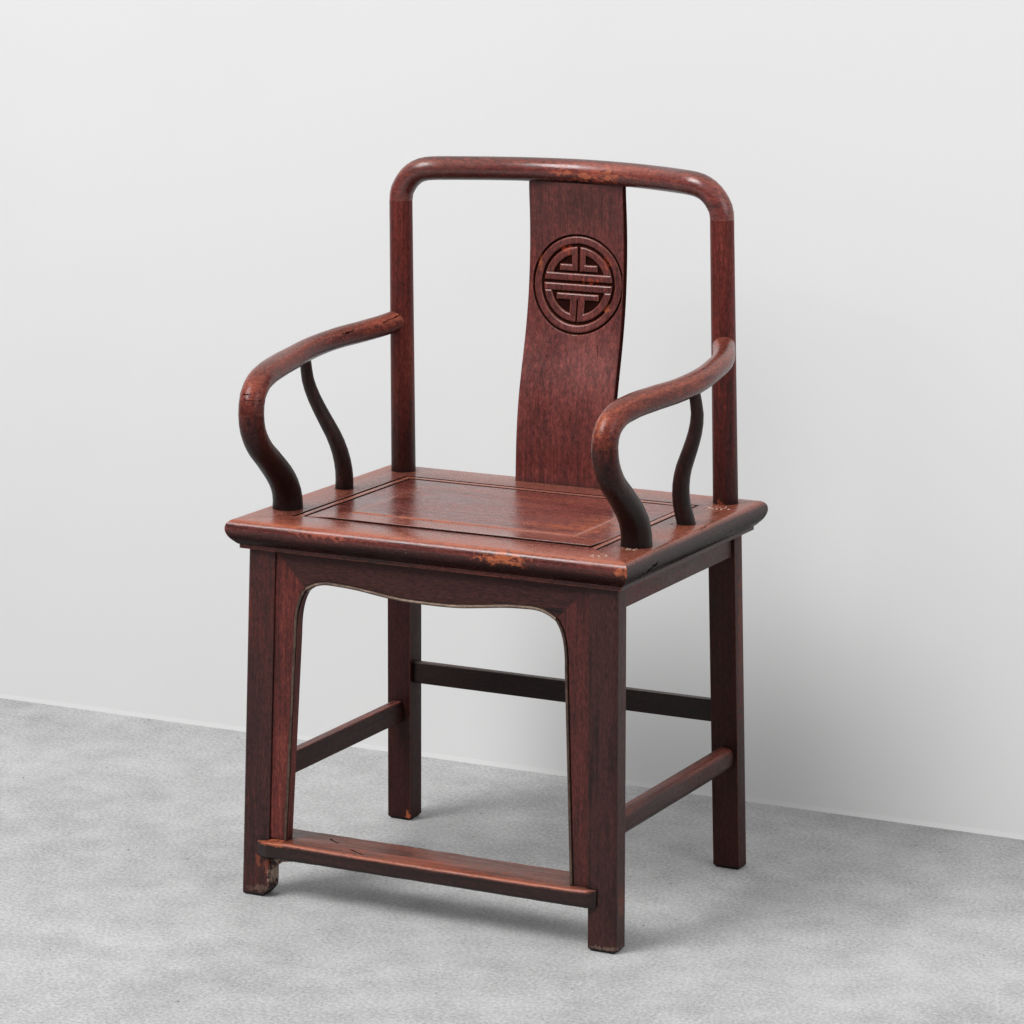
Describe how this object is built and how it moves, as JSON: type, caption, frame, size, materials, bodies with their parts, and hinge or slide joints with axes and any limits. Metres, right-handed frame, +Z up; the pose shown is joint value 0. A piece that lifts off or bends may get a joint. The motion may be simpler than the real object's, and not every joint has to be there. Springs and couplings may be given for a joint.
{
  "type": "armchair",
  "caption": "Wooden armchair with a bowed round crest rail, S-curved splat with a roundel, curved arms on bent posts and a moulded seat on splayed legs.",
  "frame": {"origin": "on the floor, under the middle of the whole chair", "axes": "+Z up; -Y to the front, the way the sitter faces; +X to the right as seen from the front"},
  "size_m": [0.614, 0.488, 0.9749],
  "materials": {
    "crest_rail": "worn satin lacquer on dark red-brown hardwood",
    "back_post_left": "worn satin lacquer on dark red-brown hardwood",
    "back_post_right": "worn satin lacquer on dark red-brown hardwood",
    "splat": "worn satin lacquer on dark red-brown hardwood",
    "armrest_left": "worn satin lacquer on dark red-brown hardwood",
    "armrest_right": "worn satin lacquer on dark red-brown hardwood",
    "front_post_left": "worn satin lacquer on dark red-brown hardwood",
    "front_post_right": "worn satin lacquer on dark red-brown hardwood",
    "side_post_left": "worn satin lacquer on dark red-brown hardwood",
    "side_post_right": "worn satin lacquer on dark red-brown hardwood",
    "seat_front_rail": "worn satin lacquer on dark red-brown hardwood",
    "seat_back_rail": "worn satin lacquer on dark red-brown hardwood",
    "seat_side_rail_left": "worn satin lacquer on dark red-brown hardwood",
    "seat_side_rail_right": "worn satin lacquer on dark red-brown hardwood",
    "seat_panel": "worn satin lacquer on dark red-brown hardwood",
    "seat_batten_left": "worn satin lacquer on dark red-brown hardwood",
    "seat_batten_right": "worn satin lacquer on dark red-brown hardwood",
    "front_leg_left": "worn satin lacquer on dark red-brown hardwood",
    "front_leg_right": "worn satin lacquer on dark red-brown hardwood",
    "front_apron": "worn satin lacquer on dark red-brown hardwood",
    "front_spandrel_left": "worn satin lacquer on dark red-brown hardwood",
    "front_spandrel_right": "worn satin lacquer on dark red-brown hardwood",
    "side_apron_left": "worn satin lacquer on dark red-brown hardwood",
    "side_apron_right": "worn satin lacquer on dark red-brown hardwood",
    "back_apron": "worn satin lacquer on dark red-brown hardwood",
    "footrest": "worn satin lacquer on dark red-brown hardwood",
    "footrest_bracket": "worn satin lacquer on dark red-brown hardwood",
    "side_stretcher_left": "worn satin lacquer on dark red-brown hardwood",
    "side_stretcher_right": "worn satin lacquer on dark red-brown hardwood",
    "rear_stretcher": "worn satin lacquer on dark red-brown hardwood"
  },
  "bodies": {
    "root": {"crest_rail": "crest_rail", "back_post_left": "back_post_left", "back_post_right": "back_post_right", "splat": "splat", "armrest_left": "armrest_left", "armrest_right": "armrest_right", "front_post_left": "front_post_left", "front_post_right": "front_post_right", "side_post_left": "side_post_left", "side_post_right": "side_post_right", "seat_front_rail": "seat_front_rail", "seat_back_rail": "seat_back_rail", "seat_side_rail_left": "seat_side_rail_left", "seat_side_rail_right": "seat_side_rail_right", "seat_panel": "seat_panel", "seat_batten_left": "seat_batten_left", "seat_batten_right": "seat_batten_right", "front_leg_left": "front_leg_left", "front_leg_right": "front_leg_right", "front_apron": "front_apron", "front_spandrel_left": "front_spandrel_left", "front_spandrel_right": "front_spandrel_right", "side_apron_left": "side_apron_left", "side_apron_right": "side_apron_right", "back_apron": "back_apron", "footrest": "footrest", "footrest_bracket": "footrest_bracket", "side_stretcher_left": "side_stretcher_left", "side_stretcher_right": "side_stretcher_right", "rear_stretcher": "rear_stretcher"}
  },
  "joints": []
}
